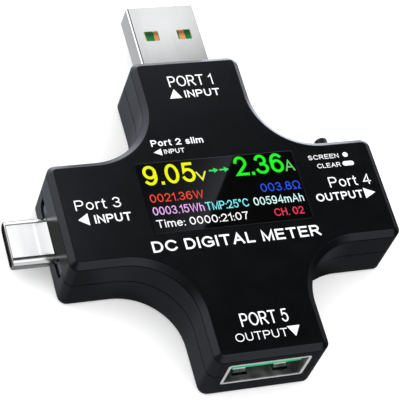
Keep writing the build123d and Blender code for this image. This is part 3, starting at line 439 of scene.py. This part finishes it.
def add_ribbon(bm, points, half, z):
    """Flat bar of even width along a line of points, in millimetres, with square ends and mitred bends."""
    line = [Vector(point) for point in points]
    closed = (line[0] - line[-1]).length < TOUCHING
    if closed:
        line.pop()
    else:
        line[0] = line[0] + (line[0] - line[1]).normalized() * half
        line[-1] = line[-1] + (line[-1] - line[-2]).normalized() * half
    count = len(line)
    rings = []
    for i, point in enumerate(line):
        before = line[i - 1] if closed or i > 0 else None
        after = line[(i + 1) % count] if closed or i < count - 1 else None
        chords = [(a, b) for a, b in ((before, point), (point, after)) if a is not None and b is not None]
        ways = [(b - a).normalized() for a, b in chords]
        sides = [Vector((-way.y, way.x)) for way in ways]
        side = sum(sides, Vector((0, 0))).normalized()
        reach = half / max(side.dot(sides[0]), MITRE_LIMIT)
        left, right = point + side * reach, point - side * reach
        rings.append([bm.verts.new((p.x * MM, p.y * MM, level * MM)) for p, level in
                      ((left, z[1]), (right, z[1]), (right, z[0]), (left, z[0]))])
    for i in range(count if closed else count - 1):
        first, second = rings[i], rings[(i + 1) % count]
        for j in range(4):
            bm.faces.new((first[j], first[(j + 1) % 4], second[(j + 1) % 4], second[j]))
    if not closed:
        bm.faces.new(rings[0])
        bm.faces.new(rings[-1][::-1])


def lettering(name, text, x, y, z, material, weight):
    """Text whose ink fills the given box, drawn with strokes of the given share of its height."""
    height = y[1] - y[0]
    thick = weight * height
    gap = LETTER_GAP + weight
    advance = sum(GLYPHS[c][0] + gap for c in text) - gap
    scale_x = (x[1] - x[0] - thick) / advance
    scale_y = height - thick
    bm = bmesh.new()
    left = 0.0
    number = 0
    for character in text:
        width, strokes = GLYPHS[character]
        for stroke in strokes:
            points = [(x[0] + thick / 2 + (left + px) * scale_x, y[0] + thick / 2 + py * scale_y)
                      for px, py in stroke_points(stroke)]
            add_ribbon(bm, points, thick / 2, (z[0], z[1] - STROKE_STEP * (number % STROKE_LEVELS)))
            number += 1
        left += width + gap
    bmesh.ops.recalc_face_normals(bm, faces=bm.faces)
    mesh = bpy.data.meshes.new(name)
    bm.to_mesh(mesh)
    bm.free()
    piece(name, mesh, material)


def rounded_bar(x, y, steps=10):
    """Outline of a bar with round ends; a dot if it is as wide as it is high."""
    radius = (y[1] - y[0]) / 2
    middle = (y[0] + y[1]) / 2
    points = []
    for centre, start in ((x[1] - radius, -90), (x[0] + radius, 90)):
        for i in range(steps + 1):
            angle = math.radians(start + 180 * i / steps)
            points.append((centre + radius * math.cos(angle), middle + radius * math.sin(angle)))
    return points


INK_Z = (FACE_Z - PRINT_SINK, FACE_Z + PRINT_HEIGHT)
REGULAR, SMALL, MEDIUM, BOLD = 0.105, 0.135, 0.15, 0.168        # stroke widths, as shares of the height
LEGENDS = [                     # name, text, its box in x and y, stroke width
    ("legend_top_port", "PORT 1", (-3.9, 3.8), (22.15, 24.25), REGULAR),
    ("legend_top_way", "INPUT", (-1.7, 4.4), (19.9, 21.3), BOLD),
    ("legend_micro_port", "Port 2 slim", (-9.85, -1.0), (10.98, 12.2), BOLD),
    ("legend_micro_way", "INPUT", (-8.05, -4.6), (9.45, 10.3), MEDIUM),
    ("legend_left_port", "Port 3", (-24.8, -17.4), (0.55, 2.4), REGULAR),
    ("legend_left_way", "INPUT", (-22.25, -16.3), (-2.0, -0.5), BOLD),
    ("legend_title", "DC DIGITAL METER", (-14.4, 13.75), (-8.15, -6.2), BOLD),
    ("legend_view", "SCREEN", (15.85, 21.25), (5.85, 6.7), SMALL),
    ("legend_clear", "CLEAR", (16.95, 21.1), (4.15, 5.0), SMALL),
    ("legend_right_port", "Port 4", (18.0, 25.35), (0.35, 2.3), REGULAR),
    ("legend_right_way", "OUTPUT", (14.95, 23.2), (-2.05, -0.6), BOLD),
    ("legend_bottom_port", "PORT 5", (-3.9, 3.9), (-22.45, -20.2), REGULAR),
    ("legend_bottom_way", "OUTPUT", (-5.5, 3.05), (-24.9, -23.5), REGULAR),
]
for name, text, x, y, weight in LEGENDS:
    lettering(name, text, x, y, INK_Z, WHITE_INK, weight)
MARKS = {                       # outlines in x and y
    "arrow_top": [(-4.4, 19.88), (-2.28, 19.88), (-3.34, 21.69)],
    "arrow_micro": [(-9.79, 9.86), (-8.45, 9.2), (-8.45, 10.52)],
    "arrow_left": [(-24.84, -1.12), (-23.15, -2.22), (-23.15, -0.03)],
    "arrow_right": [(23.51, -2.28), (25.43, -1.27), (23.51, -0.27)],
    "arrow_bottom": [(3.16, -23.27), (4.21, -25.06), (5.26, -23.27)],
    "mark_view": rounded_bar((22.02, 22.94), (5.87, 6.79)),
    "mark_clear": rounded_bar((21.49, 23.52), (4.2, 5.07)),
}
for name, outline in MARKS.items():
    piece(name, prism(outline, INK_Z), WHITE_INK)


def display_pane():
    """Glass of the display: the window's outline with a polished edge."""
    low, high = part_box("display_window")
    bm = bmesh.new()
    bmesh.ops.create_cube(bm, size=1.0)
    top = GLASS_Z * MM
    sizeable = 0.1 * MM
    for v in bm.verts:
        v.co.x = low.x if v.co.x < 0 else high.x
        v.co.y = low.y if v.co.y < 0 else high.y
        v.co.z = low.z if v.co.z < 0 else top
    upright = [e for e in bm.edges if abs(e.verts[0].co.z - e.verts[1].co.z) > sizeable]
    bmesh.ops.bevel(bm, geom=upright, offset=PANE_CORNER * MM, segments=6, profile=0.5, affect="EDGES")
    rim = [e for e in bm.edges if all(v.co.z > top - sizeable for v in e.verts)]
    bmesh.ops.bevel(bm, geom=rim, offset=PANE_EDGE * MM, segments=2, profile=0.5, affect="EDGES")
    mesh = bpy.data.meshes.new("display_pane")
    bm.to_mesh(mesh)
    bm.free()
    made = piece("display_pane", mesh, SLOTS["window_glass"])
    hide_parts("display_window")


display_pane()
GLOW_Z = (GLASS_Z - GLOW_SINK, GLOW_TOP_Z)
YELLOW = glow("glow_yellow", (0.95, 1.0, 0.0))
PALE_YELLOW = glow("glow_pale_yellow", (0.90, 0.95, 0.08))
GREEN = glow("glow_green", (0.01, 0.98, 0.01))
PALE_GREEN = glow("glow_pale_green", (0.12, 0.72, 0.12))
MINT = glow("glow_mint", (0.05, 0.80, 0.15))
RED = glow("glow_red", (0.95, 0.07, 0.03))
BLUE = glow("glow_blue", (0.02, 0.09, 0.85))
LAVENDER = glow("glow_lavender", (0.90, 0.48, 1.0))
CYAN = glow("glow_cyan", (0.25, 0.95, 1.0))
ICE = glow("glow_ice", (0.70, 1.0, 1.0), 1.1)
WHITE = glow("glow_white", (1.0, 1.0, 1.0), 1.2)
ROSE = glow("glow_rose", (0.95, 0.05, 0.12))
READINGS = [                    # name, text, its box in x and y, colour, stroke width
    ("reading_volts", "9.05", (-12.6, -4.0), (3.85, 7.5), YELLOW, 0.14),
    ("reading_volts_unit", "V", (-3.9, -2.2), (3.95, 5.6), PALE_YELLOW, 0.16),
    ("reading_amps", "2.36", (2.85, 11.25), (4.1, 7.75), GREEN, 0.14),
    ("reading_amps_unit", "A", (11.35, 13.0), (4.2, 6.3), PALE_GREEN, 0.13),
    ("reading_watts", "0021.36W", (-12.6, -3.65), (0.7, 2.2), RED, 0.12),
    ("reading_ohms", "003.8Ω", (6.1, 12.95), (0.72, 2.3), BLUE, 0.12),
    ("reading_energy", "0003.15Wh", (-12.7, -4.2), (-1.62, -0.12), LAVENDER, 0.12),
    ("reading_heat", "TMP:25°C", (-3.9, 3.35), (-1.62, -0.12), CYAN, 0.12),
    ("reading_charge", "00594mAh", (4.2, 12.8), (-1.62, -0.12), ICE, 0.12),
    ("reading_time", "Time: 0000:21:07", (-12.65, 2.65), (-3.9, -2.5), WHITE, 0.125),
    ("reading_memory", "CH. 02", (7.1, 12.15), (-3.9, -2.5), ROSE, 0.125),
]
for name, text, x, y, material, weight in READINGS:
    lettering(name, text, x, y, GLOW_Z, material, weight)
FLOW_STARTS, FLOW_LENGTH, FLOW_Y, FLOW_HALF_BAR, FLOW_HALF_HEAD = (-1.6, 0.2), 1.6, 5.59, 0.14, 0.49
for number, left in enumerate(FLOW_STARTS):
    neck, tip = left + FLOW_LENGTH / 2, left + FLOW_LENGTH
    bar_low, bar_high = FLOW_Y - FLOW_HALF_BAR, FLOW_Y + FLOW_HALF_BAR
    outline = [(left, bar_low), (neck, bar_low), (neck, FLOW_Y - FLOW_HALF_HEAD), (tip, FLOW_Y),
               (neck, FLOW_Y + FLOW_HALF_HEAD), (neck, bar_high), (left, bar_high)]
    piece(f"reading_flow_{number + 1}", prism(outline, GLOW_Z), MINT)


# ---------------------------------------------------------------- stage
REFLECTED_TINT = (0.92, 0.98, 1.11, 1)
FLOOR_LEVEL, FLOOR_CARD_LEVEL = -0.02, -0.01                    # just under the object, in millimetres
FLOOR_DIM, SKY_DIM, GLASS_DIM = 0.105, 0.13, 0.02               # what each card shines at the least
CAMERA_PLACE = Vector((-0.10141, -0.13452, 0.24238))            # in metres, fitted to the picture,
CAMERA_RIGHT = Vector((0.93574, -0.25454, 0.24414))             # as are the camera's axes
CAMERA_DOWN = Vector((-0.09069, -0.84258, -0.53088))
CAMERA_FORWARD = Vector((0.34084, 0.47462, -0.81152))


def only_seen_in_reflections(card):
    """Leave only glossy rays to meet it."""
    card.visible_camera = False
    card.visible_diffuse = False
    card.visible_transmission = False
    card.visible_volume_scatter = False
    card.visible_shadow = False


def stage_mesh(name, mesh, material):
    mesh.materials.append(material)
    made = bpy.data.objects.new(name, mesh)
    scene.collection.objects.link(made)
    return made


def quad_mesh(corners):
    mesh = bpy.data.meshes.new("quad")
    mesh.from_pydata(corners, [], [(0, 1, 2, 3)])
    return mesh


def plane_mesh(half):
    return quad_mesh([(-half, -half, 0), (half, -half, 0), (half, half, 0), (-half, half, 0)])


def floor_material():
    """Pale paper that lifts its own shadows a little."""
    m = Nodes("pale_floor")
    m.colour(m.blend(m.noise(8, 3), (0.95, 0.95, 0.95), (0.97, 0.97, 0.97)))
    m.rough(m.uneven(60, 3, 0.75, 0.9))
    m.bump(m.noise(1500, 2), 0.03, GRAIN_DEPTH)
    m.set(Specular_IOR_Level=0.1, Emission_Color=(1.0, 1.0, 1.0, 1), Emission_Strength=0.18)
    return m.material


class Glow(Nodes):
    """An emissive card: its brightness is worked out from its own coordinates."""

    def __init__(self, name):
        super().__init__(name)
        self.tree.nodes.remove(self.shader)
        self.emission = self.tree.nodes.new("ShaderNodeEmission")
        self.link(self.emission.outputs["Emission"], self.tree.nodes["Material Output"].inputs["Surface"])

    def along(self, ax, ay):
        """Position along a level direction in the card's own coordinates."""
        return self.plus(self.times(self.x, ax), self.times(self.y, ay))

    def shine(self, value):
        self.emission.inputs["Color"].default_value = REFLECTED_TINT
        self.link(value, self.emission.inputs["Strength"])


floor = stage_mesh("floor", plane_mesh(3.0), floor_material())
floor.location.z = FLOOR_LEVEL * MM
floor.visible_glossy = False


def floor_reflection():
    """What the sides and the bevel mirror: bright to the left and behind, darker towards the viewer.

    Each zone is a place on the floor, so it lights whatever mirrors that place.
    """
    m = Glow("floor_reflection")
    zones = [
        # beyond the left end
        m.times(m.falling(m.x, -28.5, -26.5, 0.28), m.ramp(m.y, -6 * MM, 2 * MM, 0.4, 1.0)),
        # upper left
        m.times(m.rising(m.y, 2, 12, 0.26), m.falling(m.x, -12, -2)),
        # beside the type-A plug
        m.times(m.rising(m.y, 24, 28, 0.42), m.rising(m.x, -11.5, -9.5)),
        # in the left arm's front corner
        m.times(m.inside(m.x, -19, -9, 3), m.falling(m.y, -13, -11, 0.09)),
        # behind the left arm
        m.times(m.rising(m.y, 28, 32, 1.8), m.falling(m.x, -17.5, -15)),
        # behind the right arm and beyond the plug, short of what the right end mirrors
        m.times(m.math("MAXIMUM", m.rising(m.y, 45, 60, 2.6),
                       m.times(m.rising(m.y, 16, 22, 2.4), m.rising(m.x, 10, 13))),
                m.falling(m.x, 38, 44)),
    ]
    darker_in_front = m.times(m.rising(m.y, -25.5, -22.5, -0.08), m.inside(m.x, 8, 18, 3))
    m.shine(m.plus(m.math("MAXIMUM", *zones), darker_in_front, FLOOR_DIM))
    card = stage_mesh("floor_reflection", plane_mesh(1.5), m.material)
    card.location.z = FLOOR_CARD_LEVEL * MM
    only_seen_in_reflections(card)


def sky_reflection():
    """Soft surroundings above the object: bright walls, most on the left, under a dim ceiling.

    The dome has a radius of one metre, so its coordinates are those of the direction.
    """
    m = Glow("sky_reflection")
    left_wall = m.ramp(m.along(-0.86, 0.5), -0.5, 0.8, 0.62, 0.82)
    walls = m.plus(left_wall, m.ramp(m.y, 0.47, 0.54, 0.0, 0.65))
    wall_share = m.ramp(m.z, 0.5, 0.72, 1.0, 0.0)
    upper_front = m.times(m.ramp(m.y, -0.30, -0.18, 1.1, 0.0), m.ramp(m.z, 0.60, 0.72, 0.0, 1.0))
    dark_left = m.ramp(m.along(-0.78, -0.62), 0.50, 0.72, 1.0, 0.12)
    dark_right = m.ramp(m.along(0.95, -0.3), 0.65, 0.84, 1.0, 0.05)
    m.shine(m.times(m.plus(m.times(walls, wall_share), upper_front, SKY_DIM), dark_left, dark_right))
    bm = bmesh.new()
    bmesh.ops.create_uvsphere(bm, u_segments=48, v_segments=24, radius=1.0)
    mesh = bpy.data.meshes.new("dome")
    bm.to_mesh(mesh)
    bm.free()
    only_seen_in_reflections(stage_mesh("sky_reflection", mesh, m.material))


def softbox_reflection():
    """Overhead softbox: a slanted edge for the display's glass, and two bright fields for the plugs.

    It hangs level with the camera, at twice the face's scale, so that its own coordinates are those
    of the point on the face that mirrors it.
    """
    m = Glow("softbox_reflection")
    edge_x, edge_y = -0.88 * MM, 1.75 * MM
    away_x, away_y = -0.8289, 0.5595
    past_edge = m.plus(m.along(away_x, away_y), -(edge_x * away_x + edge_y * away_y))
    fade = m.math("EXPONENT", m.times(past_edge, -1 / (4.5 * MM)))
    glare = m.times(m.ramp(past_edge, -0.1 * MM, 0.1 * MM, 0.0, 1.0), m.math("MINIMUM", fade, 1.0), 0.68)
    glass_share = m.times(m.inside(m.x, -13.6, 13.6), m.inside(m.y, -5.2, 8.3))
    over_glass = m.times(m.plus(glare, GLASS_DIM), glass_share)
    ambient = m.rising(m.along(-0.85, 0.5), -24, 22, 0.05)
    around = m.times(ambient, m.math("SUBTRACT", 1.0, glass_share))
    over_a_plug = m.times(m.ramp(m.along(-0.35, 1.0), 24 * MM, 40 * MM, 0.66, 1.62),
                          m.inside(m.x, -10, 10, 1), m.inside(m.y, 27.8, 46))
    over_c_plug = m.times(m.inside(m.x, -41, -28.8, 1), m.inside(m.y, -9, 9, 1), 1.82)
    m.shine(m.math("MAXIMUM", m.plus(over_glass, around), over_a_plug, over_c_plug))
    card = stage_mesh("softbox_reflection", plane_mesh(0.06), m.material)
    card.location = (-CAMERA_PLACE.x, -CAMERA_PLACE.y, CAMERA_PLACE.z)
    card.scale = (2, 2, 2)
    only_seen_in_reflections(card)


def c_plug_reflection():
    """Bounce card in front of the housing's left end, mirrored by the type-C plug's top.

    It shines away from the housing, is clear from behind, and leans with the mirrored line of sight.
    """
    m = Glow("c_plug_reflection")
    low, high = 5.3, 12.2
    m.shine(m.ramp(m.z, low * MM, high * MM, 1.13, 1.02))
    clear = m.tree.nodes.new("ShaderNodeBsdfTransparent")
    mix = m.tree.nodes.new("ShaderNodeMixShader")
    geometry = m.tree.nodes.new("ShaderNodeNewGeometry")
    m.link(geometry.outputs["Backfacing"], mix.inputs["Fac"])
    m.link(m.emission.outputs["Emission"], mix.inputs[1])
    m.link(clear.outputs["BSDF"], mix.inputs[2])
    m.link(mix.outputs["Shader"], m.tree.nodes["Material Output"].inputs["Surface"])
    x, near, far = -27.8, -2.92, 2.98
    lean = 0.585 * (high - low)
    corners = [(x, near, low), (x, near + lean, high), (x, far + lean, high), (x, far, low)]
    mesh = quad_mesh([tuple(value * MM for value in corner) for corner in corners])
    only_seen_in_reflections(stage_mesh("c_plug_reflection", mesh, m.material))


floor_reflection()
sky_reflection()
softbox_reflection()
c_plug_reflection()

world = bpy.data.worlds.new("studio")
scene.world = world
world.use_nodes = True
background = world.node_tree.nodes["Background"]
background.inputs["Color"].default_value = (1.0, 1.0, 1.0, 1)
background.inputs["Strength"].default_value = 1.12
world.cycles_visibility.glossy = False


def softbox(name, place, power):
    """Area light aimed at the object."""
    data = bpy.data.lights.new(name, "AREA")
    data.size = 0.8
    data.energy = power
    made = bpy.data.objects.new(name, data)
    scene.collection.objects.link(made)
    made.location = place
    made.rotation_euler = (-Vector(place)).to_track_quat("-Z", "Y").to_euler()
    made.visible_glossy = False


softbox("key_light", (-0.45, 0.25, 0.65), 2.0)
softbox("fill_light", (0.4, -0.35, 0.6), 1.6)

camera_data = bpy.data.cameras.new("camera")
camera_data.sensor_width = 36.0
camera_data.lens = 162.8
camera_data.clip_start = 0.01
camera = bpy.data.objects.new("camera", camera_data)
scene.collection.objects.link(camera)
columns = (CAMERA_RIGHT, -CAMERA_DOWN, -CAMERA_FORWARD)
turn = Matrix([[column[i] for column in columns] for i in range(3)]).to_4x4()
camera.matrix_world = Matrix.Translation(CAMERA_PLACE) @ turn
scene.camera = camera
scene.view_settings.view_transform = "Standard"
